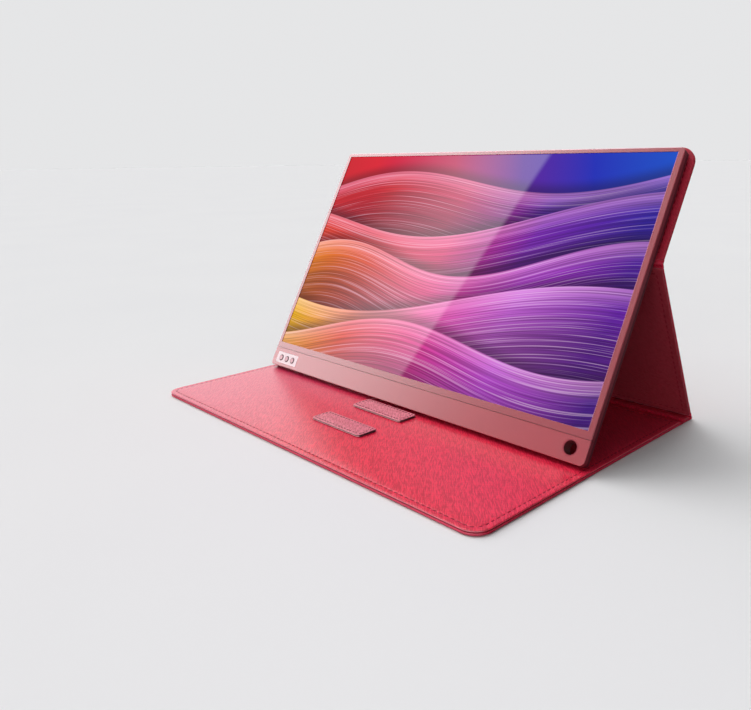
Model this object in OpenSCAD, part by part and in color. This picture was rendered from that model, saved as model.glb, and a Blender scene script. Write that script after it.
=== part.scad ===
// Portable monitor standing in its folding leather cover.
// X runs to the right as one faces the screen, Y to the rear and Z up. The origin is
// on the table, at the centre of the cover's footprint.

/* [Screen] */
// Width of the lit area of the screen
screen_w = 344.2; // [280:0.1:420]
// Height of the lit area of the screen
screen_h = 193.6; // [160:0.1:240]
// Border to the left and right of the lit area
side_border = 4; // [3:0.1:8]
// Border above the lit area
top_border = 3.3; // [2.5:0.1:8]
// Height of the band below the lit area
chin_h = 22.6; // [21:0.1:34]

/* [Monitor case] */
// Thickness of the whole monitor
monitor_t = 8.5; // [8.2:0.1:14]
// Radius of the four corners, seen from the front
corner_r = 4; // [2:0.1:8]
// Radius of the edges round the back
rear_edge_r = 3; // [1:0.1:3.5]
// Radius of the edges round the front
front_edge_r = 0.6; // [0.2:0.1:0.8]
// Thickness of the side walls
case_wall = 1.2; // [0.8:0.1:2]
// Thickness of the back
back_wall = 1; // [0.6:0.1:1.4]
// Thickness of the frame in front of the screen
lip_t = 0.6; // [0.4:0.1:0.8]
// Thickness of the chin's front
chin_wall = 0.9; // [0.7:0.1:1.2]
// Height of the chin cover, up to the seam
seam_h = 17.3; // [15:0.1:18]
// Width of the seam between the frame and the chin cover
seam_gap = 0.3; // [0.1:0.05:0.6]
// Depth of the join between the front pieces and the back, behind the front face
split_depth = 4; // [3.9:0.1:4.1]

/* [Stand] */
// Lean of the screen from the vertical
tilt = 29.25; // [22:0.25:38]
// Height of the middle fold along the screen, from its lower edge
mid_fold_h = 141.8; // [120:0.1:160]
// Length of the rear panel, from fold to fold
rear_panel_len = 138.8; // [128:0.1:170]
// Gap between the monitor's lower edge and the cover that it stands on
foot_gap = 0.25; // [0.1:0.05:0.5]

/* [Cover] */
// Distance that the cover stands out at each side of the monitor
cover_side = 3.4; // [1:0.1:10]
// Distance that the flap reaches past the monitor when it is closed over the screen
flap_margin = 8.5; // [5:0.5:20]
// Radius of the front corners of the cover
cover_corner_r = 12; // [4:0.5:20]
// Radius of the top corners of the upper panel
upper_corner_r = 12; // [4:0.5:20]
// Thickness of each leather skin
skin_t = 0.8; // [0.5:0.05:1.2]
// Thickness of the stiff boards in the panels
board_t = 1.8; // [1.7:0.1:3]
// Distance that the upper panel stands out above the monitor's top edge
upper_panel_rise = 5; // [0:0.5:10]
// Distance from the rear fold to the fold in front of the spine
spine_pitch = 16; // [15:0.5:20]
// Thickness of the pad between the upper panel and the monitor
pad_t = 0.5; // [0.3:0.1:1]

/* [Stop strips] */
// Width of the strips
strip_w = 56.5; // [30:0.5:80]
// Depth of the strips, front to back
strip_d = 17.5; // [12:0.5:20]
// Height of the strips above the cover
strip_t = 2; // [1.5:0.1:3]
// Distance from one strip to the next, front to back
strip_pitch = 39; // [36:0.5:45]
// Gap from the rear strip to the monitor's lower edge
strip_gap = 2; // [1:0.1:5]
// Least distance from the front strip to the front edge of the cover
strip_margin = 4; // [3:0.5:20]
// Radius of the corners of the strips
strip_corner_r = 3; // [1:0.5:6]

/* [Buttons] */
// Distance from the left side of the monitor to the button plate
plate_left = 6.15; // [5:0.05:10]
// Distance from the lower edge of the monitor to the button plate
plate_bottom = 3.1; // [2.5:0.1:5]
// Width of the button plate
plate_w = 31.3; // [30:0.1:34]
// Height of the button plate
plate_h = 10.3; // [9:0.1:11]
// Thickness of the button plate
plate_t = 0.6; // [0.5:0.05:0.8]
// Depth of the recess that holds the button plate
plate_recess = 0.5; // [0.4:0.05:0.6]
// Distance from one button to the next
button_pitch = 8.7; // [8:0.1:9.4]
// Radius of a button's cap
button_r = 2.85; // [2:0.05:3.2]
// Gap round a button in its plate
button_gap = 0.15; // [0.1:0.05:0.2]
// Height of the buttons above their plate
button_rise = 0.5; // [0.4:0.05:0.8]
// Travel of a button
button_travel = 0.4; // [0.2:0.05:0.45]

/* [Pen hole] */
// Radius of the hole for a pen
pen_r = 4.75; // [3:0.05:5]
// Distance from the hole's centre to the right side of the monitor
pen_side = 12.9; // [10:0.1:16]
// Distance from the hole's centre to the lower edge of the monitor
pen_h = 9.4; // [8.5:0.1:10.5]
// Wall of the sleeve in the hole
sleeve_wall = 0.75; // [0.4:0.05:1]

/* [Sockets] */
// Height along the screen of the lower of the two oval sockets
socket_h = 48; // [44:0.5:52]
// Distance from one oval socket to the next
socket_pitch = 14; // [12:0.5:16]
// Height along the screen of the flat video socket
video_socket_h = 80; // [76:0.5:84]
// Depth of the sockets, from mouth to back
socket_len = 7.3; // [6:0.1:9]

/* [Hidden] */
$fn = 64;

// Clearances, and a margin by which cutting bodies pass through what they cut
fit_gap = 0.05;
hinge_gap = 0.6;
cut = 1;

// Overall sizes of the monitor and of a cover panel
monitor_w = screen_w + 2 * side_border;
monitor_h = chin_h + screen_h + top_border;
cover_w = monitor_w + 2 * cover_side;
upper_panel_top = monitor_h + upper_panel_rise;
panel_t = 2 * skin_t + board_t;

// Heights in a cover panel above the fold axis, which lies in the middle of the outer skin
skin_low = -skin_t / 2;
skin_top = skin_t / 2;
board_top = skin_top + board_t;
lining_top = board_top + skin_t;

// The monitor stands on its rounded rear edge, foot_gap above the cover
foot_z = panel_t + foot_gap + monitor_t * sin(tilt) - rear_edge_r * (sin(tilt) + cos(tilt) - 1);

// Middle fold: on the outer skin of the upper panel, behind the monitor's back
mid_fold_depth = monitor_t + pad_t + lining_top;
mid_from_foot_y = mid_fold_h * sin(tilt) + mid_fold_depth * cos(tilt);
mid_fold_z = foot_z + mid_fold_h * cos(tilt) - mid_fold_depth * sin(tilt);

// Rear fold: where the rear panel, hung from the middle fold, meets the table
rear_fold_z = skin_t / 2;
rear_panel_rise = mid_fold_z - rear_fold_z;
rear_panel_run = sqrt(rear_panel_len * rear_panel_len - rear_panel_rise * rear_panel_rise);
rear_panel_slope = atan2(rear_panel_rise, rear_panel_run);

// Depth of the cover on the table: its flap covers the monitor and carries both strips
strips_reach = skin_t / 2 + rear_panel_run + mid_from_foot_y + strip_gap + strip_d + strip_pitch;
cover_d = max(spine_pitch + monitor_h + flap_margin, strips_reach + strip_margin);
rear_fold_y = cover_d / 2 - skin_t / 2;
mid_fold_y = rear_fold_y - rear_panel_run;
foot_y = mid_fold_y - mid_from_foot_y;

// Half widths of the folds, so that the boards clear each other when they are folded
rear_fold_half = (lining_top + hinge_gap / 2) / tan(rear_panel_slope / 2);
mid_fold_half = 2;
spine_fold_half = lining_top + fit_gap;
skin_end_gap = skin_t / 2 / tan(rear_panel_slope / 2) + hinge_gap / 2;

// Lengths of the panels, measured from their fold axes
cover_len = rear_fold_y + cover_d / 2;
spine_end = spine_pitch - spine_fold_half;
flap_start = spine_pitch + spine_fold_half;
rear_panel_end = rear_panel_len - mid_fold_half;
upper_panel_len = upper_panel_top - mid_fold_h;

// Part of the upper panel that lies behind the monitor
upper_contact_len = monitor_h - mid_fold_h;

// Magnets
cover_magnet = [20, 6, 1.4];
cover_magnet_x = [-110, 0, 110];
cover_magnet_inset = 14;
mount_magnet_r = 5;
mount_magnet_t = 1.6;
mount_magnet_pitch = 40;
mount_magnet_count = 6;
steel_plate_size = [240, 40, 0.6];
pad_margin = 8;

// Strips: the rear one ends just in front of the monitor's lower edge
rear_strip_y = foot_y - strip_gap - strip_d / 2;
front_strip_y = rear_strip_y - strip_pitch;
strip_skin = 0.6;

// Depths inside the monitor, behind the front face
inner_depth = monitor_t - back_wall;
cell_t = 1.1;
sheet_t = 0.2;
guide_t = 1.2;
tray_t = 0.3;
cell_depth = lip_t + cell_t;
prism_depth = cell_depth + sheet_t;
diffuser_depth = prism_depth + sheet_t;
guide_depth = diffuser_depth + guide_t;
reflector_depth = guide_depth + sheet_t;
tray_depth = reflector_depth + tray_t;

// Margins of the display's layers round the lit area
cell_margin = 1.2;
cell_ledge = 4;
sheet_margin = 0.6;
led_h = 1.3;
led_t = 1;
tray_gap = 0.1;

// Boards: depth of their front faces and their thickness
pcb_t = 0.8;
board_standoff = 2;
main_board_depth = inner_depth - board_standoff;
driver_board_depth = 4.2;
button_board_depth = 2.8;
main_board_size = [102, 65];
main_board_low = 30;
main_board_left = -monitor_w / 2 + case_wall + 0.5;
driver_board_size = [188, 10];
driver_board_low = 5.5;
driver_board_left = -monitor_w / 2 + 48;
button_board_size = [33.5, 11];
button_board_low = 2.5;
button_board_left = -monitor_w / 2 + 4.5;
driver_post_x = [0.2, 0.5, 0.85];
driver_post_h = 3;
button_post_x = [0.3, 0.7];
button_post_h = 2.5;

// Chips: place of the middle on the main board and side length
chips = [[50, 30, 14], [24, 20, 8], [72, 44, 9]];
chip_t = 0.9;
spreader_t = 0.3;
spreader_corner = [16, 12];
spreader_size = [68, 42];

// Screws
screw_r = 0.7;
screw_head_r = 1.5;
screw_head_t = 0.5;
boss_r = 2;
screw_fit = 0.02;
board_screw_inset = 5;
chin_screw_x = [
    -monitor_w / 2 + 42,
    driver_board_left + driver_board_size.x + 6.1,
    monitor_w / 2 - 40.1
];
chin_screw_h = 9;
chin_screw_len = 4;

// Sockets: oval shells and one flat shell, standing on the inside of the back
usb_size = [8.94, 3.16];
video_size = [11, 2.9];
shell_wall = 0.3;
socket_recess = 0.9;
socket_x = -monitor_w / 2 + socket_recess;
socket_clearance = 0.07;
mouth_clearance = 0.06;
tongue = [6.7, 0.7];

// Speakers
speaker_size = [30, 14, 3.2];
speaker_h = 115;
speaker_side = 26;
grille_slot = [1, 8];
grille_pitch = 4;
grille_count = 6;
speaker_rim = 1.5;
lead_w = 1.6;
lead_t = 0.6;
lead_overlap = 3;

// Flat cables
cable_t = 0.25;
cable_overlap = 4;
cable_sag = 2;
film_t = 0.15;
film_w = 30;
film_pitch = 74;
film_x = [for (i = [0 : 2]) driver_board_left + 18.1 + i * film_pitch];
film_overlap = [1.4, 2];
display_cable_x = driver_board_left + 24.1;
display_cable_w = 14;
display_cable_low = driver_board_low + 4;
button_cable_x = -monitor_w / 2 + 18;
button_cable_w = 6;
button_cable_low = button_board_low + 7;

// Buttons: they lie just under half the plate's height, spaced about its middle
button_drop = 0.25;
button_h = plate_bottom + plate_h / 2 - button_drop;
plate_mid_x = -monitor_w / 2 + plate_left + plate_w / 2;
plate_front = plate_t - plate_recess;
flange_r = button_r + 0.75;
flange_depth = plate_recess + fit_gap;
flange_t = 0.55;
stem_r = 1.2;
stem_len = 0.4;
stem_end_depth = flange_depth + flange_t + stem_len;
plate_corner_r = 1;
pen_x = monitor_w / 2 - pen_side;
sleeve_r = pen_r + sleeve_wall;

echo(str("foot ", foot_y, " ", foot_z));
echo(str("rear fold ", rear_fold_y, " ", rear_fold_z, " slope ", rear_panel_slope));
echo(str("mid fold ", mid_fold_y, " ", mid_fold_z));
echo(str("rear fold travel ", 180 - rear_panel_slope, " screen travel ", 90 - tilt));
echo(str("pen hole ", pen_x, " ", pen_h, " rear strip ", rear_strip_y));

// ---------------------------------------------------------------- places

// Monitor: X across, Y up the screen from its lower edge, Z out of the front face
module on_monitor() {
    translate([0, foot_y, foot_z]) rotate([90 - tilt, 0, 0]) children();
}

// Cover panels: Y away from the fold axis, Z from the outer skin towards the lining
module on_base() {
    translate([0, rear_fold_y, rear_fold_z]) rotate([0, 0, 180]) children();
}

module on_rear_panel() {
    translate([0, rear_fold_y, rear_fold_z]) rotate([180 - rear_panel_slope, 0, 0]) children();
}

module on_upper_panel() {
    translate([0, mid_fold_y, mid_fold_z]) rotate([90 - tilt, 0, 0]) children();
}

// A slab between two depths behind the front face; its outline is the child
module layer(front, back) {
    translate([0, 0, -back]) linear_extrude(back - front) children();
}

// A profile drawn in height and depth, carried across a width from x
module across(x, width) {
    translate([x, 0, 0]) rotate([90, 0, 90]) linear_extrude(width) children();
}

// ---------------------------------------------------------------- outlines

// Rectangle with round corners, standing on Y = 0 and centred on X
module rounded_rect(w, h, r) {
    translate([-w / 2 + r, 0]) square([w - 2 * r, h]);
    translate([-w / 2, r]) square([w, h - 2 * r]);
    for (x = [-w / 2 + r, w / 2 - r], y = [r, h - r]) translate([x, y]) circle(r);
}

// Slot with round ends, centred, its long side along X
module oval(w, h) {
    square([w - h, h], center = true);
    for (x = [-1, 1]) translate([x * (w - h) / 2, 0]) circle(h / 2);
}

// What is left of a square corner outside its round of radius r
module corner_waste(r) {
    difference() {
        translate([-cut, -cut]) square(r + cut);
        translate([r, r]) circle(r);
    }
}

// Section through the monitor's case: round edges, front face on Y = 0
module case_section(len) {
    difference() {
        translate([0, -monitor_t]) square([len, monitor_t]);
        for (side = [0, 1]) {
            translate([side * len, 0]) mirror([side, 0]) {
                translate([0, -monitor_t]) corner_waste(rear_edge_r);
                mirror([0, 1]) corner_waste(front_edge_r);
            }
        }
    }
}

// The whole case as one block
module case_block() {
    intersection() {
        layer(0, monitor_t) rounded_rect(monitor_w, monitor_h, corner_r);
        across(-monitor_w / 2, monitor_w) case_section(monitor_h);
        translate([-monitor_w / 2, monitor_h, 0]) rotate([90, 0, 0])
            linear_extrude(monitor_h) case_section(monitor_w);
    }
}

// Inside of the case, between two depths
module case_cavity(front, back) {
    layer(front, back) translate([0, case_wall])
        rounded_rect(monitor_w - 2 * case_wall, monitor_h - 2 * case_wall, corner_r - case_wall);
}

// Everything of the case between two heights and two depths
module case_zone(low, high, front, back) {
    layer(front, back) translate([-monitor_w / 2 - cut, low]) square([monitor_w + 2 * cut, high - low]);
}

// Outline of a cover panel from y0 to y1, with round corners at y1
module panel_outline(y0, y1, inset, r) {
    half = cover_w / 2 - inset;
    end = y1 - inset;
    translate([-half, y0]) square([2 * half, end - r - y0]);
    translate([-half + r, y0]) square([2 * (half - r), end - y0]);
    for (x = [-1, 1]) translate([x * (half - r), end - r]) circle(r);
}

// Outer leather: flat from y0, its edges turned up round the board from wall_y on
module turned_skin(y0, wall_y, y1, r) {
    translate([0, 0, skin_low]) linear_extrude(skin_t) panel_outline(y0, y1, 0, r);
    translate([0, 0, skin_top]) linear_extrude(board_t) difference() {
        panel_outline(wall_y, y1, 0, r);
        panel_outline(wall_y - cut, y1, skin_t, r - skin_t);
    }
}

// The two turned-up side edges of a panel, from y0 to y1 and between two heights
module side_edges(y0, y1, z0, z1) {
    for (x = [-cover_w / 2 - cut, cover_w / 2 - skin_t])
        translate([x, y0, z0]) cube([skin_t + cut, y1 - y0, z1 - z0]);
}

// ---------------------------------------------------------------- front cover and spine

module cover_skin() {
    color("#e2506a") on_base() difference() {
        turned_skin(skin_end_gap, rear_fold_half, cover_len, cover_corner_r);
        side_edges(spine_end, flap_start, skin_top, lining_top);
    }
}

module cover_board() {
    color("#8a7a6c") on_base() difference() {
        translate([0, 0, skin_top]) linear_extrude(board_t)
            panel_outline(flap_start + skin_t, cover_len, skin_t, cover_corner_r - skin_t);
        cover_magnet_places(fit_gap, cut);
    }
}

module spine_board() {
    color("#8a7a6c") on_base() translate([0, 0, skin_top]) linear_extrude(board_t)
        translate([-cover_w / 2 + skin_t, rear_fold_half + skin_t])
            square([cover_w - 2 * skin_t, spine_end - rear_fold_half - 2 * skin_t]);
}

// The lining runs over the boards and dips to the outer skin at the spine fold
module cover_lining() {
    color("#ea6f84") on_base() difference() {
        lining_sheet();
        side_edges(0, spine_end, skin_top - cut, board_top);
        side_edges(flap_start, cover_len, skin_top - cut, board_top);
    }
}

module lining_sheet() {
    intersection() {
        translate([0, 0, skin_top]) linear_extrude(board_t + skin_t)
            panel_outline(rear_fold_half, cover_len, 0, cover_corner_r);
        across(-cover_w / 2, cover_w) polygon([
            [rear_fold_half, skin_top], [rear_fold_half, lining_top],
            [spine_end, lining_top], [spine_end, skin_top + skin_t],
            [flap_start, skin_top + skin_t], [flap_start, lining_top],
            [cover_len, lining_top], [cover_len, board_top],
            [flap_start + skin_t, board_top], [flap_start + skin_t, skin_top],
            [spine_end - skin_t, skin_top], [spine_end - skin_t, board_top],
            [rear_fold_half + skin_t, board_top], [rear_fold_half + skin_t, skin_top]
        ]);
    }
}

module cover_magnet_places(gap, above) {
    for (x = cover_magnet_x)
        translate([x - cover_magnet.x / 2 - gap, cover_len - cover_magnet_inset - gap,
                   board_top - cover_magnet.z])
            cube([cover_magnet.x + 2 * gap, cover_magnet.y + 2 * gap, cover_magnet.z + above]);
}

module cover_magnets() {
    color("#b9bcc2") on_base() cover_magnet_places(0, 0);
}

// ---------------------------------------------------------------- stop strips

module strip_core(y) {
    color("#8a7a6c") translate([0, y - strip_d / 2 + strip_skin, panel_t])
        linear_extrude(strip_t - strip_skin)
            rounded_rect(strip_w - 2 * strip_skin, strip_d - 2 * strip_skin,
                         strip_corner_r - strip_skin);
}

module strip_leather(y) {
    color("#d8405c") difference() {
        translate([0, y - strip_d / 2, panel_t]) linear_extrude(strip_t)
            rounded_rect(strip_w, strip_d, strip_corner_r);
        translate([0, y - strip_d / 2 + strip_skin, panel_t - cut])
            linear_extrude(strip_t - strip_skin + cut)
                rounded_rect(strip_w - 2 * strip_skin, strip_d - 2 * strip_skin,
                             strip_corner_r - strip_skin);
    }
}

module front_strip_core() { strip_core(front_strip_y); }
module front_strip_leather() { strip_leather(front_strip_y); }
module rear_strip_core() { strip_core(rear_strip_y); }
module rear_strip_leather() { strip_leather(rear_strip_y); }

// ---------------------------------------------------------------- rear panel

// The outer skin runs from fold to fold and ends in a round bead on each fold axis
module rear_panel_skin() {
    color("#a8263f") on_rear_panel() {
        translate([-cover_w / 2, 0, skin_low]) cube([cover_w, rear_panel_len, skin_t]);
        for (y = [0, rear_panel_len])
            translate([-cover_w / 2, y, 0]) rotate([0, 90, 0]) cylinder(h = cover_w, r = skin_t / 2);
        for (x = [-cover_w / 2, cover_w / 2 - skin_t])
            translate([x, rear_fold_half, skin_top])
                cube([skin_t, rear_panel_end - rear_fold_half, board_t]);
    }
}

module rear_panel_board() {
    color("#8a7a6c") on_rear_panel()
        translate([-cover_w / 2 + skin_t, rear_fold_half + skin_t, skin_top])
            cube([cover_w - 2 * skin_t, rear_panel_end - rear_fold_half - 2 * skin_t, board_t]);
}

module rear_panel_lining() {
    color("#7e1a2c") on_rear_panel() difference() {
        translate([-cover_w / 2, rear_fold_half, skin_top])
            cube([cover_w, rear_panel_end - rear_fold_half, board_t + skin_t]);
        translate([-cover_w / 2 - cut, rear_fold_half + skin_t, skin_top - cut])
            cube([cover_w + 2 * cut, rear_panel_end - rear_fold_half - 2 * skin_t, board_t + cut]);
        side_edges(0, rear_panel_len, skin_top - cut, board_top);
    }
}

// ---------------------------------------------------------------- upper panel

module upper_panel_skin() {
    color("#c7304c") on_upper_panel()
        turned_skin(skin_end_gap, mid_fold_half, upper_panel_len, upper_corner_r);
}

module upper_panel_board() {
    color("#8a7a6c") on_upper_panel() difference() {
        translate([0, 0, skin_top]) linear_extrude(board_t)
            panel_outline(mid_fold_half + skin_t, upper_panel_len, skin_t, upper_corner_r - skin_t);
        mount_magnet_places(fit_gap, cut);
    }
}

module upper_panel_lining() {
    color("#c7304c") on_upper_panel() {
        translate([0, 0, board_top]) linear_extrude(skin_t)
            panel_outline(mid_fold_half, upper_panel_len, 0, upper_corner_r);
        translate([-cover_w / 2 + skin_t, mid_fold_half, skin_top])
            cube([cover_w - 2 * skin_t, skin_t, board_t]);
    }
}

module mount_magnet_places(gap, above) {
    first = -(mount_magnet_count - 1) / 2;
    for (i = [0 : mount_magnet_count - 1])
        translate([(first + i) * mount_magnet_pitch, upper_contact_len / 2,
                   board_top - mount_magnet_t])
            cylinder(h = mount_magnet_t + above, r = mount_magnet_r + gap);
}

module mount_magnets() {
    color("#b9bcc2") on_upper_panel() mount_magnet_places(0, 0);
}

module mounting_pad() {
    color("#4a1620") on_upper_panel() translate([0, pad_margin, lining_top]) linear_extrude(pad_t)
        rounded_rect(monitor_w - 4 * pad_margin, upper_contact_len - 2 * pad_margin, corner_r);
}

// ---------------------------------------------------------------- monitor case

module rear_shell() {
    color("#c9818c") on_monitor() {
        difference() {
            intersection() {
                case_block();
                case_zone(-cut, monitor_h + cut, split_depth, monitor_t + cut);
            }
            case_cavity(split_depth - cut, inner_depth);
            pen_bore();
            for (h = [socket_h, socket_h + socket_pitch])
                socket_place(h, usb_size.y) linear_extrude(2 * case_wall)
                    oval(usb_size.x + 2 * mouth_clearance, usb_size.y + 2 * mouth_clearance);
            socket_place(video_socket_h, video_size.y) linear_extrude(2 * case_wall)
                square([video_size.x + 2 * mouth_clearance, video_size.y + 2 * mouth_clearance],
                       center = true);
            for (x = chin_screw_x)
                translate([x, chin_screw_h, -monitor_t - cut]) {
                    cylinder(h = back_wall + 2 * cut, r = screw_r + fit_gap);
                    cylinder(h = screw_head_t + cut, r = screw_head_r + fit_gap);
                }
            for (side = [-1, 1]) grille(side);
        }
        for (p = board_screw_points()) boss(p, main_board_depth + pcb_t, screw_r + screw_fit);
        for (x = driver_post_x)
            boss([driver_board_left + x * driver_board_size.x, driver_board_low + driver_post_h],
                 driver_board_depth + pcb_t, 0);
        for (x = button_post_x)
            boss([button_board_left + x * button_board_size.x, button_board_low + button_post_h],
                 button_board_depth + pcb_t, 0);
    }
}

// Bore through the case for the pen sleeve
module pen_bore() {
    translate([pen_x, pen_h, -monitor_t - cut])
        cylinder(h = monitor_t + 2 * cut, r = sleeve_r + fit_gap);
}

// Post on the inside of the back, up to a depth, with a pilot hole if it takes a screw
module boss(p, depth, pilot_r) {
    translate([p.x, p.y, -inner_depth]) difference() {
        cylinder(h = inner_depth - depth, r = boss_r);
        if (pilot_r > 0) translate([0, 0, fit_gap]) cylinder(h = inner_depth, r = pilot_r);
    }
}

// Row of slots in the back, in front of a speaker
module grille(side) {
    first = -(grille_count - 1) / 2;
    for (i = [0 : grille_count - 1])
        translate([side * speaker_mid_x() + (first + i) * grille_pitch,
                   speaker_h + speaker_size.y / 2, -monitor_t - cut])
            linear_extrude(back_wall + 2 * cut) rotate(90) oval(grille_slot.y, grille_slot.x);
}

module bezel_frame() {
    color("#d99aa4") on_monitor() difference() {
        intersection() {
            case_block();
            case_zone(seam_h + seam_gap / 2, monitor_h + cut, -cut, split_depth);
        }
        layer(-cut, monitor_t) translate([-screen_w / 2, chin_h]) square([screen_w, screen_h]);
        case_cavity(lip_t, monitor_t);
    }
}

module chin_cover() {
    color("#cf8793") on_monitor() {
        difference() {
            intersection() {
                case_block();
                case_zone(-cut, seam_h - seam_gap / 2, -cut, split_depth);
            }
            case_cavity(chin_wall, monitor_t);
            pen_bore();
            layer(-cut, plate_recess) plate_outline(fit_gap);
            for (i = [-1 : 1])
                layer(-cut, monitor_t) translate([button_x(i), button_h]) circle(flange_r + fit_gap);
        }
        for (x = chin_screw_x)
            translate([x, chin_screw_h, -inner_depth]) difference() {
                cylinder(h = inner_depth - chin_wall, r = boss_r);
                translate([0, 0, -cut]) cylinder(h = chin_screw_len + cut, r = screw_r + screw_fit);
            }
    }
}

module pen_sleeve() {
    color("#3b1219") on_monitor() translate([pen_x, pen_h, -monitor_t]) difference() {
        cylinder(h = monitor_t, r = sleeve_r);
        translate([0, 0, -cut]) cylinder(h = monitor_t + 2 * cut, r = pen_r);
    }
}

module chin_screws() {
    color("#6e7077") on_monitor() for (x = chin_screw_x)
        translate([x, chin_screw_h, -monitor_t]) {
            cylinder(h = screw_head_t, r = screw_head_r);
            cylinder(h = chin_screw_len, r = screw_r);
        }
}

// ---------------------------------------------------------------- buttons

module plate_outline(gap) {
    translate([plate_mid_x, plate_bottom - gap])
        rounded_rect(plate_w + 2 * gap, plate_h + 2 * gap, plate_corner_r);
}

function button_x(i) = plate_mid_x + i * button_pitch;

module button_plate() {
    color("#f3dfe3") on_monitor() layer(-plate_front, plate_recess) difference() {
        plate_outline(0);
        for (i = [-1 : 1]) translate([button_x(i), button_h]) circle(button_r + button_gap);
    }
}

// Cap, retaining flange and stem, turned about the button's own axis
module button(i) {
    top = plate_front + button_rise;
    bevel = button_rise / 3;
    color("#d07a89") on_monitor() translate([button_x(i), button_h, 0]) rotate_extrude() polygon([
        [0, -stem_end_depth], [stem_r, -stem_end_depth],
        [stem_r, -flange_depth - flange_t], [flange_r, -flange_depth - flange_t],
        [flange_r, -flange_depth], [button_r, -flange_depth],
        [button_r, top - bevel], [button_r - bevel, top], [0, top]
    ]);
}

module menu_button() { button(-1); }
module minus_button() { button(0); }
module plus_button() { button(1); }

module button_board() {
    color("#1f5a3a") on_monitor() layer(button_board_depth, button_board_depth + pcb_t)
        translate([button_board_left, button_board_low]) square(button_board_size);
}

// Snap domes under the buttons, one travel below the stems
module button_domes() {
    color("#c8cace") on_monitor() for (i = [-1 : 1])
        layer(stem_end_depth + button_travel + fit_gap, button_board_depth)
            translate([button_x(i), button_h]) circle(2 * stem_r);
}

// ---------------------------------------------------------------- display

// Rectangle round the lit area with a margin, and its own margin below
module screen_rect(margin, below) {
    translate([-screen_w / 2 - margin, chin_h - below])
        square([screen_w + 2 * margin, screen_h + margin + below]);
}

module display_panel() {
    color("#a02a7c") on_monitor() layer(lip_t, cell_depth) screen_rect(cell_margin, cell_ledge);
}

module prism_sheet() {
    color("#eef2f6") on_monitor() layer(cell_depth, prism_depth)
        screen_rect(sheet_margin, sheet_margin);
}

module diffuser_sheet() {
    color("#f7f7f7") on_monitor() layer(prism_depth, diffuser_depth)
        screen_rect(sheet_margin, sheet_margin);
}

module light_guide() {
    color("#dfe9ee") on_monitor() layer(diffuser_depth, guide_depth)
        screen_rect(sheet_margin, sheet_margin);
}

module reflector_sheet() {
    color("#fafafa") on_monitor() layer(guide_depth, reflector_depth)
        screen_rect(sheet_margin, sheet_margin);
}

module backlight_strip() {
    color("#f4e9a8") on_monitor() layer(guide_depth - led_t, guide_depth)
        translate([-screen_w / 2, chin_h - sheet_margin - tray_gap - led_h])
            square([screen_w, led_h]);
}

// Sheet-metal tray: a floor under the layers and a low rim round them
module panel_tray() {
    inner = sheet_margin + tray_gap;
    inner_below = sheet_margin + led_h + 2 * tray_gap;
    color("#a9adb3") on_monitor() {
        layer(reflector_depth, tray_depth) screen_rect(inner + tray_t, inner_below + tray_t);
        layer(cell_depth, reflector_depth) difference() {
            screen_rect(inner + tray_t, inner_below + tray_t);
            screen_rect(inner, inner_below);
        }
    }
}

// Films from the ledge under the glass, round its edge and down to the driver board
module panel_films() {
    edge = chin_h - cell_ledge;
    board_edge = driver_board_low + driver_board_size.y;
    top = edge + film_overlap[0];
    low = board_edge - film_overlap[1];
    color("#a86a1e") on_monitor() for (x = film_x) across(x - film_w / 2, film_w) polygon([
        [top, -cell_depth], [edge - film_t, -cell_depth],
        [edge - film_t, -driver_board_depth + film_t], [low, -driver_board_depth + film_t],
        [low, -driver_board_depth], [edge, -driver_board_depth],
        [edge, -cell_depth - film_t], [top, -cell_depth - film_t]
    ]);
}

module driver_board() {
    color("#1f5a3a") on_monitor() layer(driver_board_depth, driver_board_depth + pcb_t)
        translate([driver_board_left, driver_board_low]) square(driver_board_size);
}

// ---------------------------------------------------------------- main board and sockets

function board_screw_points() = [
    for (x = [board_screw_inset, main_board_size.x - board_screw_inset],
         y = [board_screw_inset, main_board_size.y - board_screw_inset])
        [main_board_left + x, main_board_low + y]
];

// Socket axis along X from its mouth; the child's outline is drawn in height and depth
module socket_place(h, height) {
    translate([-monitor_w / 2 - cut, h, -inner_depth + height / 2]) rotate([90, 0, 90]) children();
}

module socket_at(h, height) {
    translate([socket_x, h, -inner_depth + height / 2]) rotate([90, 0, 90]) children();
}

module main_board() {
    color("#14462e") on_monitor() difference() {
        layer(main_board_depth, main_board_depth + pcb_t)
            translate([main_board_left, main_board_low]) square(main_board_size);
        for (p = board_screw_points())
            translate([p.x, p.y, -monitor_t]) cylinder(h = monitor_t, r = screw_r + fit_gap);
        for (s = [[socket_h, usb_size.x], [socket_h + socket_pitch, usb_size.x],
                  [video_socket_h, video_size.x]])
            translate([socket_x - cut, s[0] - s[1] / 2 - socket_clearance, -monitor_t])
                cube([socket_len + cut + socket_clearance, s[1] + 2 * socket_clearance, monitor_t]);
    }
}

module board_screws() {
    color("#6e7077") on_monitor() for (p = board_screw_points())
        translate([p.x, p.y, -inner_depth + 2 * fit_gap]) {
            cylinder(h = inner_depth - 2 * fit_gap - main_board_depth, r = screw_r);
            translate([0, 0, inner_depth - 2 * fit_gap - main_board_depth])
                cylinder(h = screw_head_t, r = screw_head_r);
        }
}

// Scaler, port controller and memory on the front face of the board
module board_chips() {
    color("#22252a") on_monitor() layer(main_board_depth - chip_t, main_board_depth)
        for (c = chips)
            translate([main_board_left + c[0] - c[2] / 2, main_board_low + c[1] - c[2] / 2])
                square(c[2]);
}

module heat_spreader() {
    back = main_board_depth - chip_t;
    color("#5a5d62") on_monitor() layer(back - spreader_t, back)
        translate([main_board_left, main_board_low] + spreader_corner) square(spreader_size);
}

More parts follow.
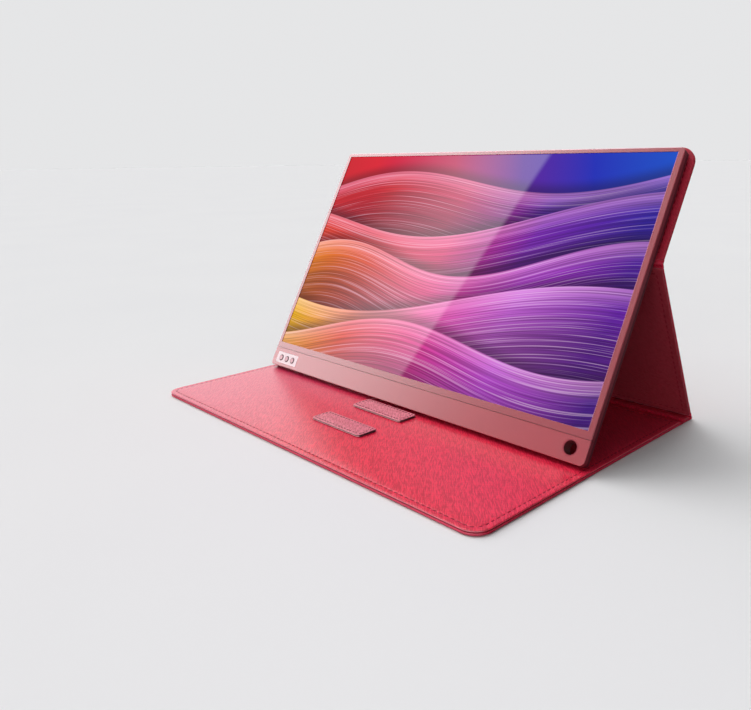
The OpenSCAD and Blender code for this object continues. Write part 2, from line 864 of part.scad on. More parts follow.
module usb_socket(h) {
    color("#b4b8be") on_monitor() socket_at(h, usb_size.y) {
        linear_extrude(socket_len) difference() {
            oval(usb_size.x, usb_size.y);
            oval(usb_size.x - 2 * shell_wall, usb_size.y - 2 * shell_wall);
        }
        translate([0, 0, socket_len - shell_wall]) linear_extrude(shell_wall)
            oval(usb_size.x, usb_size.y);
        translate([-tongue.x / 2, -tongue.y / 2, cut]) cube([tongue.x, tongue.y, socket_len - cut]);
    }
}

module lower_usb_socket() { usb_socket(socket_h); }
module upper_usb_socket() { usb_socket(socket_h + socket_pitch); }

module video_socket() {
    color("#b4b8be") on_monitor() socket_at(video_socket_h, video_size.y) {
        linear_extrude(socket_len) difference() {
            square(video_size, center = true);
            square([video_size.x - 2 * shell_wall, video_size.y - 2 * shell_wall], center = true);
        }
        translate([-video_size.x / 2, -video_size.y / 2, socket_len - shell_wall])
            cube([video_size.x, video_size.y, shell_wall]);
        translate([-video_size.x / 3, -tongue.y / 2, cut])
            cube([video_size.x * 2 / 3, tongue.y, socket_len - cut]);
    }
}

// ---------------------------------------------------------------- cables

// Flat cable that steps from one depth to another as it climbs
module stepped_cable(x, width, points) {
    low = points[0];
    high = points[1];
    across(x - width / 2, width) polygon([
        [low[0], -low[2]], [low[1], -low[2]], [high[0], -high[2]], [high[1], -high[2]],
        [high[1], -high[2] + cable_t], [high[0], -high[2] + cable_t],
        [low[1], -low[2] + cable_t], [low[0], -low[2] + cable_t]
    ]);
}

module display_cable() {
    color("#d8c9a0") on_monitor() stepped_cable(display_cable_x, display_cable_w,
        [[display_cable_low, driver_board_low + driver_board_size.y,
          driver_board_depth + pcb_t + cable_t],
         [main_board_low - cable_sag, main_board_low + cable_overlap, main_board_depth]]);
}

module button_cable() {
    color("#d8c9a0") on_monitor() stepped_cable(button_cable_x, button_cable_w,
        [[button_cable_low, button_board_low + button_board_size.y,
          button_board_depth + pcb_t + cable_t],
         [main_board_low - cable_sag, main_board_low + cable_overlap, main_board_depth]]);
}

// ---------------------------------------------------------------- sound and holding plate

function speaker_mid_x() = monitor_w / 2 - speaker_side - speaker_size.x / 2;

module speaker(side) {
    color("#2b2d31") on_monitor()
        translate([side * speaker_mid_x() - speaker_size.x / 2, speaker_h, -inner_depth]) difference() {
            cube(speaker_size);
            translate([speaker_size.x / 2, speaker_size.y / 2, -cut])
                cylinder(h = speaker_size.z / 2 + cut, r = speaker_size.y / 2 - speaker_rim);
        }
}

module speaker_left() { speaker(-1); }
module speaker_right() { speaker(1); }

// Leads on the inside of the back, from under the main board to each speaker
module speaker_leads() {
    board_top_edge = main_board_low + main_board_size.y;
    board_right = main_board_left + main_board_size.x;
    run_h = main_board_low + main_board_size.y * 2 / 3;
    color("#1b1c1f") on_monitor() layer(inner_depth - lead_t, inner_depth) {
        translate([-speaker_mid_x(), board_top_edge - lead_overlap])
            square([lead_w, speaker_h - board_top_edge + lead_overlap]);
        translate([board_right - lead_overlap, run_h])
            square([speaker_mid_x() - board_right + lead_overlap, lead_w]);
        translate([speaker_mid_x() - lead_w, run_h]) square([lead_w, speaker_h - run_h]);
    }
}

// Plate that the cover's magnets hold, on the inside of the back
module steel_plate() {
    color("#8f9399") on_monitor()
        translate([-steel_plate_size.x / 2,
                   mid_fold_h + upper_contact_len / 2 - steel_plate_size.y / 2, -inner_depth])
            cube(steel_plate_size);
}

// ---------------------------------------------------------------- assembly

cover_skin();
cover_board();
spine_board();
cover_lining();
cover_magnets();
front_strip_core();
front_strip_leather();
rear_strip_core();
rear_strip_leather();
rear_panel_skin();
rear_panel_board();
rear_panel_lining();
upper_panel_skin();
upper_panel_board();
upper_panel_lining();
mount_magnets();
mounting_pad();
rear_shell();
bezel_frame();
chin_cover();
pen_sleeve();
button_plate();
menu_button();
minus_button();
plus_button();
display_panel();
prism_sheet();
diffuser_sheet();
light_guide();
reflector_sheet();
backlight_strip();
panel_tray();
panel_films();
driver_board();
main_board();
board_chips();
heat_spreader();
board_screws();
lower_usb_socket();
upper_usb_socket();
video_socket();
button_board();
button_domes();
button_cable();
display_cable();
speaker_left();
speaker_right();
speaker_leads();
steel_plate();
chin_screws();
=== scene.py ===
"""Looks of a portable monitor that stands in its folding leather cover.

Sizes are in millimetres, as on the drawing, and become metres where a mesh is made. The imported
frame's own axes are used throughout: X to the right, Y to the rear, Z up, the table at Z = 0.
"""

import math

import bmesh
import bpy
from mathutils import Matrix, Vector


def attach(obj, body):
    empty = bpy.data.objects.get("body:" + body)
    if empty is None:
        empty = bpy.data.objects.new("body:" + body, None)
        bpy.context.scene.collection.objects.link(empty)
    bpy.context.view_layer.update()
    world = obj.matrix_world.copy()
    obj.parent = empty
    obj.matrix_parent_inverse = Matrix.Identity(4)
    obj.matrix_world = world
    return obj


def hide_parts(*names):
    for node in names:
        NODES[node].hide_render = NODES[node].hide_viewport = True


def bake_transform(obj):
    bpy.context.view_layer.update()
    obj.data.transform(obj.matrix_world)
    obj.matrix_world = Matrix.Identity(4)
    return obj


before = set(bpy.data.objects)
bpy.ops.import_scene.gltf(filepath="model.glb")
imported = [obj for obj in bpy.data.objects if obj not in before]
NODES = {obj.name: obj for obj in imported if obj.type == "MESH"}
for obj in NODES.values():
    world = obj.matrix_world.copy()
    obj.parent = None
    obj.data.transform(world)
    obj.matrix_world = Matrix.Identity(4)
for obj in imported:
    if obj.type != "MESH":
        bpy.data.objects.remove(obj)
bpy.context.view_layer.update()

# ---------------------------------------------------------------- sizes on the drawing

MM = 0.001

# How far the monitor leans back, and how steeply the rear panel rises.
TILT = math.radians(29.25)
SLOPE = math.radians(63.4626)

# Places seen from the side, as (y, z): the monitor's lower front edge and the folds' two axes.
FOOT = (-20.1698, 6.71993)
REAR_LEN = 138.8
REAR_FOLD = (121.6, 0.4)
MID_FOLD = (REAR_FOLD[0] - REAR_LEN * math.cos(SLOPE), REAR_FOLD[1] + REAR_LEN * math.sin(SLOPE))

# Thickness of the leather and of a whole panel, and half the cover's width.
SKIN = 0.8
PANEL_T = 3.4
HALF_W = 179.5
CORNER_R, EDGE_R = 12, 0.6
CASE_W, CASE_H, CASE_T, CASE_R = 352.2, 219.5, 8.5, 4
LIT_W, LIT_H, CHIN_H = 344.2, 193.6, 22.6
STRIP_W, STRIP_D, STRIP_T, STRIP_R = 56.5, 17.5, 2.0, 3
STRIP_PITCH, STRIP_TO_FOOT = 39.0, 2.0
REAR_STRIP = FOOT[0] - STRIP_TO_FOOT - STRIP_D / 2
STRIPS = {"front_strip": REAR_STRIP - STRIP_PITCH, "rear_strip": REAR_STRIP}

# On the monitor, x runs from its middle and heights from its lower edge.
MENU_X, BUTTON_PITCH, BUTTON_H = -163.0, 8.7, 8.0
BUTTONS = {name: MENU_X + i * BUTTON_PITCH
           for i, name in enumerate(("menu_button", "minus_button", "plus_button"))}
CHIN_SCREWS = (-134.1, 66.0, 136.0)
SCREW_H = 9.0
USB_H, VIDEO_H = (48.0, 62.0), (80.0,)

# Pieces of the cover as (left, right, near, far). The flap and the spine are measured along the
# table, the rear panel from the rear fold, and the upper panel and the pad from the middle fold.
FLAP = (-HALF_W, HALF_W, -122.0, 102.55)
SPINE = (-HALF_W, HALF_W, 108.65, 116.26)
REAR = (-HALF_W, HALF_W, 5.34, 136.8)
UPPER = (-HALF_W, HALF_W, 2.0, 82.7)
PAD = (-160.1, 160.1, 8.0, 69.7)
SQUARE = (EDGE_R,) * 4
FLAP_R = (CORNER_R, CORNER_R, EDGE_R, EDGE_R)
UPPER_R = (EDGE_R, EDGE_R, CORNER_R, CORNER_R)
PAD_R = (4,) * 4


def place_at(y, z, turn, sink=0.0):
    """Drawing millimetres to metres: turned about X, moved to (0, y, z), its own Z lowered by sink."""
    there = Matrix.Translation((0, y * MM, z * MM)) @ Matrix.Rotation(turn, 4, "X")
    return there @ Matrix.Scale(MM, 4) @ Matrix.Translation((0, 0, -sink))


ON_TABLE = place_at(0, 0, 0)
ON_REAR = place_at(*REAR_FOLD, math.pi - SLOPE, SKIN / 2)
ON_UPPER = place_at(*MID_FOLD, math.pi / 2 - TILT, SKIN / 2)
ON_SCREEN = place_at(*FOOT, math.pi / 2 - TILT)


def colour(code):
    """A colour written as #rrggbb, as the shader wants it."""
    parts = [int(code[i:i + 2], 16) / 255 for i in (1, 3, 5)]
    return tuple(c / 12.92 if c <= 0.04045 else ((c + 0.055) / 1.055) ** 2.4 for c in parts) + (1.0,)


# ---------------------------------------------------------------- finishes

class Value:
    """A shader socket that sums can be written with."""

    def __init__(self, shading, socket):
        self.shading, self.socket = shading, socket

    def __add__(self, other):
        return self.shading.sum("ADD", self, other)

    def __sub__(self, other):
        return self.shading.sum("SUBTRACT", self, other)

    def __rsub__(self, other):
        return self.shading.sum("SUBTRACT", other, self)

    def __mul__(self, other):
        return self.shading.sum("MULTIPLY", self, other)

    def __truediv__(self, other):
        return self.shading.sum("DIVIDE", self, other)

    __radd__, __rmul__ = __add__, __mul__


class Shading:
    """The nodes of one material or of the world."""

    def __init__(self, tree):
        self.tree = tree

    def node(self, kind, settings=None, inputs=None, output=0):
        """Any node: its settings first, then its sockets' values or links."""
        made = self.tree.nodes.new(kind)
        for name, value in (settings or {}).items():
            if name == "stops":
                while len(made.color_ramp.elements) < len(value):
                    made.color_ramp.elements.new(1.0)
                for element, (position, shade) in zip(made.color_ramp.elements, value):
                    element.position, element.color = position, colour(shade)
            else:
                setattr(made, name, value)
        for key, value in (inputs or {}).items():
            self.plug(made.inputs[key], value)
        return Value(self, made.outputs[output])

    def plug(self, socket, value):
        if isinstance(value, Value):
            self.tree.links.new(value.socket, socket)
        else:
            socket.default_value = value

    def sum(self, operation, *values):
        return self.node("ShaderNodeMath", {"operation": operation}, dict(enumerate(values)))

    def split(self, vector):
        parts = self.node("ShaderNodeSeparateXYZ", inputs={0: vector})
        return [Value(self, socket) for socket in parts.socket.node.outputs]

    def join(self, x, y, z):
        return self.node("ShaderNodeCombineXYZ", inputs={0: x, 1: y, 2: z})

    def noise(self, x, y, z, detail=2.0, twist=0.0):
        return self.node("ShaderNodeTexNoise", inputs={
            "Vector": self.join(x, y, z), "Scale": 1.0, "Detail": detail, "Distortion": twist})

    def cells(self, x, y, z):
        """Distance to the nearest of many scattered points."""
        return self.node("ShaderNodeTexVoronoi", inputs={"Vector": self.join(x, y, z), "Scale": 1.0})

    def waves(self, value, pitch):
        """Even waves from 0 to 1 along value."""
        return self.sum("SINE", value * (2 * math.pi / pitch)) * 0.5 + 0.5

    def step(self, value, low, high):
        """0 below low, 1 above high and a soft climb between them."""
        return self.node("ShaderNodeMapRange", {"interpolation_type": "SMOOTHSTEP"},
                         {"Value": value, "From Min": low, "From Max": high})

    def band(self, value, middle, half, soft):
        """1 within half of middle, falling to 0 over soft."""
        return 1 - self.step(self.sum("ABSOLUTE", value - middle), half, half + soft)

    def ramp(self, value, *stops):
        return self.node("ShaderNodeValToRGB", {"stops": stops}, {0: value})

    def mix(self, factor, first, second, how="MIX"):
        first, second = (colour(c) if isinstance(c, str) else c for c in (first, second))
        return self.node("ShaderNodeMix", {"data_type": "RGBA", "blend_type": how},
                         {0: factor, 6: first, 7: second}, 2)


class Finish(Shading):
    """One material, built up from a plain shader."""

    def __init__(self, name, **constants):
        self.material = bpy.data.materials.new(name)
        self.material.use_nodes = True
        super().__init__(self.material.node_tree)
        self.shader = self.tree.nodes["Principled BSDF"]
        self.give(**constants)

    def give(self, **sockets):
        """Sets or links sockets of the shader, such as Base_Color or Roughness."""
        for name, value in sockets.items():
            self.plug(self.shader.inputs[name.replace("_", " ")], value)

    def laid(self, turn=0.0, origin=(0.0, 0.0)):
        """Place on the piece in millimetres, with a panel that leans by turn laid flat at its origin."""
        here = self.node("ShaderNodeTexCoord", output="Object")
        moved = self.node("ShaderNodeVectorMath", {"operation": "SUBTRACT"},
                          {0: here, 1: (0, origin[0] * MM, origin[1] * MM)})
        flat = self.node("ShaderNodeVectorRotate", {"rotation_type": "X_AXIS"},
                         {"Vector": moved, "Angle": -turn})
        sized = self.node("ShaderNodeVectorMath", {"operation": "SCALE"}, {0: flat, "Scale": 1 / MM})
        return self.split(sized)

    def raised(self, height, depth):
        """Relief from a height of 0 to 1 that stands for depth millimetres."""
        self.give(Normal=self.node("ShaderNodeBump", {}, {
            "Height": height, "Strength": 1.0, "Distance": depth * MM}))


def leather(name, pale, deep, turn=0.0, origin=(0.0, 0.0), seam=None, rim=0.3, left=None, cool=None,
            behind=None, contrast=1.1, ridge=0.32):
    """Leather with wavy ridges over a fine pore; the lower the ridge value, the longer they run.

    seam is the height of the dark line where the turned-up skin meets the lining, painted shade in
    its groove, and rim how strong the painted highlights on the edge above and below it are, less so
    on the right side. Left of the two places in left, a painted sheen flattens the grain and turns
    the colour over to cool. Past the two places in behind, painted shade of the stand flattens the
    grain and greys the colour.
    """
    f = Finish(name, Coat_Roughness=0.25, Coat_Weight=0.48, Coat_IOR=1.6, Specular_IOR_Level=0.06)
    x, y, z = f.laid(turn, origin)
    wander = (f.noise(x * 0.14, y * 0.14, z * 0.14, 1) - 0.5) * 1.6
    one, other = (x + y) * 0.707 + wander, (x - y) * 0.707 + wander
    first = f.step(f.noise(one * 2.0, other * ridge, z * 0.4, 1), 0.35, 0.65)
    second = f.step(f.noise(one * ridge, other * 1.7, z * 0.4 + 7, 1), 0.35, 0.65)
    hatch = first * 0.78 + second * 0.22 - 0.5
    # Painted sheen left of the places in left: the grain is flattened here, and below the colour goes over
    # to cool.
    if left:
        wear_and_sheen = 1 - f.step(x, *left)
        hatch = hatch * (1 - 0.35 * wear_and_sheen)
    # Painted shade of the stand past the places in behind: the grain is flattened here, and below the
    # colour greyed.
    if behind:
        painted_stand_shade = f.step(y, *behind)
        hatch = hatch * (1 - 0.4 * painted_stand_shade)
    pores = f.noise(x * 3.2, y * 3.2, z * 3.2, 3) - 0.5
    skin = f.mix(0.5 + hatch * contrast + pores * 0.4, deep, pale)
    # Painted sheen on the left: the colour goes over to cool.
    if left:
        skin = f.mix(wear_and_sheen * 0.45, skin, cool)
    # Painted shade under the stand: the colour greyed.
    if behind:
        skin = f.mix(painted_stand_shade * 0.2, skin, "#a04e5c")
    if seam is not None:
        # Painted highlights on the edge: a lighter lower band and a pale line on the rounded top edge,
        # weaker on the right side.
        rim_highlight = rim * (1 - 0.75 * f.step(x, 177, 179))
        skin = f.mix(f.band(z, seam - 1.05, 0.75, 0.15) * rim_highlight * 0.95, skin, "#ff5c78")
        skin = f.mix(f.band(z, seam + 0.75, 0.2, 0.08) * rim_highlight * 0.8, skin, "#ffa4b4")
        # Painted shade: the dark line in the seam's groove.
        skin = f.mix(f.band(z, seam, 0.22, 0.1) * 0.9, skin, "#8a0a22")
    f.give(Base_Color=skin, Roughness=0.45 - 0.12 * hatch + pores * 0.1)
    f.raised((hatch + 0.5) * 0.8 + pores * 0.3, 0.25)
    return f.material


def strip_leather(name):
    """Paler leather of the strips, cut through at the sides so that its two plies show; the sides carry
    painted shade in the groove between the plies, at the foot and at the ends.
    """
    f = Finish(name, Coat_Roughness=0.3, Coat_Weight=0.4, Specular_IOR_Level=0.2)
    x, y, z = f.laid()
    height = z - PANEL_T
    one, other = (x + y) * 0.707, (x - y) * 0.707
    hatch = f.noise(one * 1.3, other * 0.2, 0, 1) * 0.65 + f.noise(one * 0.2, other * 1.3, 5, 1) * 0.35
    skin = f.mix(f.step(hatch, 0.4, 0.6), "#b8485e", "#e27c8e")
    side = 1 - f.step(height, 1.62, 1.82)
    # Painted shade on the sides: a dark line in the groove between the plies, and a dark foot as painted
    # contact shadow.
    cut_edge_and_shade = f.mix(f.band(height, 1.1, 0.24, 0.06), "#ffd6da", "#1c060a")
    cut_edge_and_shade = f.mix(1 - f.step(height, 0.3, 0.45), cut_edge_and_shade, "#4a0c1a")
    wear_and_sheen = f.noise(x * 1.5, y * 1.5, z * 1.5, 2)
    cut_edge_and_shade = f.mix(wear_and_sheen * 0.3, cut_edge_and_shade, "#a84a5c")
    # Both ends are painted dark as shade.
    ends = f.step(f.sum("ABSOLUTE", x), STRIP_W / 2 - 0.9, STRIP_W / 2 - 0.5)
    cut_edge_and_shade = f.mix(ends * 0.85, cut_edge_and_shade, "#22060c")
    f.give(Base_Color=f.mix(side, skin, cut_edge_and_shade), Roughness=0.5 + wear_and_sheen * 0.1)
    f.raised(hatch, 0.3)
    return f.material


def thread(name, pale, deep):
    """Sewing thread: fine twisted strands."""
    f = Finish(name, Roughness=0.7, Specular_IOR_Level=0.1)
    x, y, z = f.laid()
    twist = f.noise(x * 6, y * 6, z * 6, 1)
    f.give(Base_Color=f.mix(twist, deep, pale))
    f.raised(twist, 0.05)
    return f.material


def rose_metal(name, face, deep, side=None, rough=0.36, clear=1.0, index=2.4):
    """Satin rose finish over fine blasting, with a faint cloud in the colour, and duller sides that are
    painted darker as shade.
    """
    f = Finish(name, Metallic=0.1, Coat_Roughness=0.27, Coat_IOR=index, Specular_IOR_Level=0.3)
    x, up, out = f.laid(math.pi / 2 - TILT, FOOT)
    grit = f.noise(x * 5, up * 5, out * 5, 2)
    cloud = f.noise(x * 0.03, up * 0.03, out * 0.03, 2)
    front = f.step(out, -0.75, -0.35)
    skin = f.mix(cloud * 0.5 + grit * 0.15, face, deep)
    # The sides take the side colour, or else the deep one: painted shade.
    f.give(Base_Color=f.mix(front, side or deep, skin), Roughness=rough + grit * 0.1,
           Coat_Weight=front * clear)
    f.raised(grit, 0.004)
    return f.material


def polished(name, face, deep):
    """Cut and polished edge of the same metal."""
    f = Finish(name, Metallic=0.85)
    x, y, z = f.laid()
    lines = f.noise(x * 0.2, y * 1.5, z * 1.5, 2)
    f.give(Base_Color=f.mix(lines * 0.6, face, deep), Roughness=0.25 + lines * 0.06)
    return f.material


def moulded(name, face, deep, rough=0.5, grain=3.0, metal=0.0):
    """Moulded or plated piece with a fine, even grain."""
    f = Finish(name, Metallic=metal)
    x, y, z = f.laid()
    grit = f.noise(x * grain, y * grain, z * grain, 3)
    cloud = f.noise(x * 0.1, y * 0.1, z * 0.1, 2)
    f.give(Base_Color=f.mix(grit * 0.5 + cloud * 0.4, face, deep), Roughness=rough + 0.15 * (grit - 0.5))
    f.raised(grit, 0.03)
    return f.material


def sleeve(name, ring, bore, depth):
    """Dark sleeve whose front ring is finished like the chin."""
    f = Finish(name, Coat_Weight=0.3, Coat_Roughness=0.3)
    x, up, out = f.laid(math.pi / 2 - TILT, FOOT)
    grit = f.noise(x * 4, up * 4, out * 4, 2)
    front = f.step(out, -0.2, -0.1)
    f.give(Base_Color=f.mix(front, f.mix(grit, bore, depth), f.mix(grit * 0.3, ring, bore)),
           Roughness=0.6 - front * 0.3)
    f.raised(grit, 0.02)
    return f.material


def rolled(name, face, deep, rough=0.32, along="x"):
    """Rolled or brushed sheet with fine lines in one direction."""
    f = Finish(name, Metallic=1.0)
    x, y, z = f.laid()
    scale = (0.15, 6.0) if along == "x" else (6.0, 0.15)
    lines = f.noise(x * scale[0], y * scale[1], z * scale[1], 3)
    stain = f.noise(x * 0.06, y * 0.06, z * 0.06, 3)
    f.give(Base_Color=f.mix(lines * 0.6 + stain * 0.3, face, deep), Roughness=rough + 0.18 * (lines - 0.5))
    f.raised(lines, 0.01)
    return f.material


def fibre_board(name):
    """Grey pressed board with short fibres."""
    f = Finish(name, Specular_IOR_Level=0.2)
    x, y, z = f.laid()
    fibres = f.noise(x * 0.5, y * 3, z * 3, 4, twist=1.5)
    specks = f.cells(x * 1.2, y * 1.2, z * 1.2)
    f.give(Base_Color=f.mix(f.step(specks, 0.1, 0.3) * 0.8 + fibres * 0.2, "#5f5348", "#9b8a79"),
           Roughness=0.82 + fibres * 0.1)
    f.raised(fibres, 0.08)
    return f.material


def film(name, face, deep, pitch=0.6, rough=0.25):
    """White optical film with fine parallel prisms."""
    f = Finish(name, IOR=1.49)
    x, y, z = f.laid()
    lines = f.waves(x, pitch)
    cloud = f.noise(x * 0.05, y * 0.05, z * 0.05, 2)
    f.give(Base_Color=f.mix(lines * 0.25 + cloud * 0.25, face, deep), Roughness=rough + cloud * 0.1)
    f.raised(lines, 0.01)
    return f.material


def circuit_board(name):
    """Green solder mask over copper tracks, with tinned pads and vias."""
    f = Finish(name, Coat_Weight=0.3, Coat_Roughness=0.15)
    x, up, out = f.laid(math.pi / 2 - TILT, FOOT)
    lanes = f.node("ShaderNodeTexBrick", {"offset": 0.37, "squash_frequency": 3}, {
        "Vector": f.join(x + f.noise(x * 0.08, up * 0.08, 3, 0) * 30, up, 0), "Scale": 0.25,
        "Mortar Size": 0.07, "Brick Width": 1.1, "Row Height": 0.22}, "Fac")
    vias = f.cells(x * 0.42, up * 0.42, 0)
    pad, hole = 1 - f.step(vias, 0.16, 0.19), 1 - f.step(vias, 0.07, 0.09)
    mask = f.mix(lanes * 0.8, "#0b3a22", "#1d6b3f")
    tinned = f.mix(hole, "#b9b7ad", "#14160f")
    f.give(Base_Color=f.mix(pad, mask, tinned), Roughness=0.38 + pad * -0.12,
           Metallic=pad * 0.8 - hole * 0.8)
    f.raised(lanes * 0.5 + pad * 0.5, 0.05)
    return f.material


def striped(name, face, line, pitch, axis=0, rough=0.35, metal=0.0):
    """Flat cable, film or strip with parallel conductors or lamps."""
    f = Finish(name, Coat_Weight=0.2)
    place = f.laid(math.pi / 2 - TILT, FOOT)
    mark = f.step(f.waves(place[axis], pitch), 0.55, 0.75)
    wear_and_sheen = f.noise(place[0] * 0.4, place[1] * 0.4, place[2] * 0.4, 2)
    f.give(Base_Color=f.mix(mark * (0.75 + wear_and_sheen * 0.2), face, line), Roughness=rough + wear_and_sheen * 0.1,
           Metallic=mark * metal)
    f.raised(mark, 0.02)
    return f.material


def socket_steel(name, heights, half):
    """Stamped steel shell round a dark tongue with gilt contacts; heights are the sockets' middles."""
    f = Finish(name)
    x, up, out = f.laid(math.pi / 2 - TILT, FOOT)
    middle_out = -CASE_T + 1 + 1.5
    inside = f.band(out, middle_out, 0.42, 0.04)
    tongue = None
    for h in heights:
        one = f.band(up, h, half, 0.05) * inside
        tongue = one if tongue is None else f.sum("MAXIMUM", tongue, one)
    contacts = f.step(f.sum("SINE", up * (2 * math.pi / 0.9)), 0.1, 0.3) * tongue
    lines = f.noise(x * 0.5, up * 5, out * 5, 2)
    shell = f.mix(lines, "#8f9399", "#c9ccd1")
    dark = f.mix(contacts * 0.8, "#15161a", "#b08a3c")
    f.give(Base_Color=f.mix(tongue, shell, dark), Metallic=1 - tongue * 0.9, Roughness=0.3 + lines * 0.12)
    return f.material


def lit_screen(name):
    """Lit picture behind glass: rolling ridges from warm to cool, each with fine contour lines."""
    f = Finish(name, Base_Color=colour("#050306"), Roughness=0.3, Specular_IOR_Level=0.0,
               Coat_Roughness=0.012, Emission_Strength=1.0)
    x, up, out = f.laid(math.pi / 2 - TILT, FOOT)
    u = x / LIT_W + 0.5
    v = (up - CHIN_H) / LIT_H
    picture = f.ramp(u * 0.85 + v * 0.15, (0.0, "#b80a14"), (0.25, "#d8102a"), (0.5, "#c01c5c"),
                     (0.68, "#5c1a9c"), (0.84, "#1c2cb8"), (1.0, "#1450c8"))
    ridges = (
        (0.88, 0.075, 0.9, 0.05, ("#d8121c", "#e02030", "#d82868", "#5a22b0", "#2438c8")),
        (0.71, 0.085, 0.8, 0.42, ("#f0401c", "#e83030", "#ee3c80", "#8224c0", "#3020b0")),
        (0.53, 0.080, 1.1, 0.15, ("#f88c10", "#f2502a", "#f04490", "#b434d0", "#5018a4")),
        (0.35, 0.090, 0.7, 0.60, ("#ffc400", "#fa7a24", "#f858a8", "#d068e0", "#6a1cb0")),
        (0.17, 0.070, 1.0, 0.85, ("#f0a800", "#f04a20", "#f23c98", "#c04cd4", "#48148c")),
    )
    for level, swing, turns, start, shades in ridges:
        edge = f.sum("SINE", u * (2 * math.pi * turns) + 2 * math.pi * start) * swing + level
        depth = edge - v + (u - 0.5) * 0.12
        face = f.ramp(u + depth * 0.2, *zip((0.0, 0.25, 0.5, 0.75, 1.0), shades))
        crest = 1 - f.step(depth, 0.0, 0.09)
        strand = f.noise(depth * 210, u * 2.0, level * 9, 2)
        face = f.mix(crest * 0.32, face, "#ffb0d8", "SCREEN")
        face = f.mix(f.step(depth, 0.0, 0.24) * 0.55, face, "#2a0226")
        face = f.mix(f.step(strand, 0.48, 0.62) * 0.38, face, "#1c0016")
        face = f.mix(f.step(1 - strand, 0.56, 0.66) * 0.3, face, "#ffd8f0", "SCREEN")
        behind = f.mix((1 - f.step(-1 * depth, 0.0, 0.06)) * 0.5, picture, "#180018")
        picture = f.mix(f.step(depth, 0.0, 0.004), behind, face)
    lit = f.band(x, 0, LIT_W / 2 - 0.1, 0.05) * f.band(up, CHIN_H + LIT_H / 2, LIT_H / 2 - 0.1, 0.05)
    lit = lit * f.step(out, -0.75, -0.65)
    glossy = f.step(u - v * 0.22, -0.05, 0.36)
    f.give(Emission_Color=f.mix(lit, "#000000", picture), Coat_Weight=0.12 + glossy * 0.88)
    return f.material


# ---------------------------------------------------------------- mesh work

def outline(x0, x1, y0, y1, radii, inset=0.0, steps=8):
    """Points round a rectangle, drawn in by inset; radii start at the low left corner, as the points do."""
    corners = ((x0, y0, 1, 1), (x1, y0, -1, 1), (x1, y1, -1, -1), (x0, y1, 1, -1))
    points = []
    for quarter, ((x, y, sx, sy), radius) in enumerate(zip(corners, radii)):
        r = max(radius - inset, 0.05)
        cx, cy = x + sx * (inset + r), y + sy * (inset + r)
        for i in range(steps + 1):
            a = math.radians(180 + 90 * (quarter + i / steps))
            points.append((cx + r * math.cos(a), cy + r * math.sin(a)))
    return points


def add_loft(bm, rings, place, closed=False):
    """Skins a row of rings, capped at both ends, or joined end to end where closed."""
    loops = [[bm.verts.new(place @ Vector(p)) for p in ring] for ring in rings]
    pairs = list(zip(loops, loops[1:])) + ([(loops[-1], loops[0])] if closed else [])
    for a, b in pairs:
        for i in range(len(a)):
            j = (i + 1) % len(a)
            bm.faces.new((a[i], a[j], b[j], b[i]))
    if not closed:
        bm.faces.new(loops[0][::-1])
        bm.faces.new(loops[-1])


def finish_piece(name, bm, finish, body=None, replaces=(), slot=None, angle=38):
    """Turns worked mesh into a named piece that rides on a body."""
    bmesh.ops.recalc_face_normals(bm, faces=bm.faces)
    mesh = bpy.data.meshes.new(name)
    bm.to_mesh(mesh)
    bm.free()
    mesh.shade_smooth()
    mesh.set_sharp_from_angle(angle=math.radians(angle))
    mesh.materials.append(finish)
    piece = bpy.data.objects.new(name, mesh)
    bpy.context.scene.collection.objects.link(piece)
    if body:
        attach(piece, body)
    if replaces:
        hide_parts(*replaces)
    return piece


def loft_piece(name, rings, place, finish, closed=False, **rest):
    bm = bmesh.new()
    add_loft(bm, rings, place, closed)
    return finish_piece(name, bm, finish, **rest)


def rings_of(box, radii, profile):
    """Rings of an outline at each (inset, height) of a profile."""
    return [[(x, y, z) for x, y in outline(*box, radii, inset)] for inset, z in profile]


# Sections through a panel's edge, as (inset, height): the outer skin's tray, then the lining's lid.
STITCH_INSET = 4.5
SKIN_EDGE = (
    (12, 0), (5.6, 0), (5.0, 0.06), (4.5, 0.12), (4.0, 0.06), (3.4, 0), (1.1, 0), (0.55, 0.08),
    (0.2, 0.3), (0.02, 0.7), (0, 1.1), (0.03, 1.5), (0.14, 1.74), (0.34, 1.84), (0.56, 1.88),
    (0.56, 2.58), (0.76, 2.58), (0.76, 0.82), (12, 0.82))
LINING_EDGE = (
    (12, 2.62), (0.5, 2.62), (0.5, 2.36), (0.24, 2.34), (0.07, 2.44), (0, 2.66), (0.04, 2.96),
    (0.2, 3.2), (0.5, 3.34), (1.0, 3.4), (3.2, 3.4), (3.8, 3.34), (4.2, 3.25), (4.5, 3.21),
    (4.8, 3.25), (5.2, 3.34), (5.8, 3.4), (12, 3.4))


def leather_panel(name, body, place, box, radii, skin_finish, lining_finish, skin_for=(), lining_for=()):
    """A stiff panel bound in leather: a turned-up outer skin and a lid of lining."""
    loft_piece(name + "_outer_leather", rings_of(box, radii, SKIN_EDGE), place, skin_finish,
               body=body, replaces=skin_for, slot="cover_leather")
    loft_piece(name + "_inner_leather", rings_of(box, radii, LINING_EDGE), place, lining_finish,
               body=body, replaces=lining_for, slot="lining_leather")


def march(points, pitch):
    """Places and directions at an even pitch along a closed line."""
    closed = [Vector(p) for p in points] + [Vector(points[0])]
    total = sum((b - a).length for a, b in zip(closed, closed[1:]))
    count = max(3, round(total / pitch))
    gap, due, run = total / count, 0.0, 0.0
    for a, b in zip(closed, closed[1:]):
        length = (b - a).length
        while length > 0 and due < run + length - 1e-6:
            yield a.lerp(b, (due - run) / length), (b - a) / length
            due += gap
        run += length


# One stitch as (place along it, size, lift).
STITCH = ((-1, 0.35, -0.5), (-0.72, 0.85, 0), (0, 1, 0.2), (0.72, 0.85, 0), (1, 0.35, -0.5))


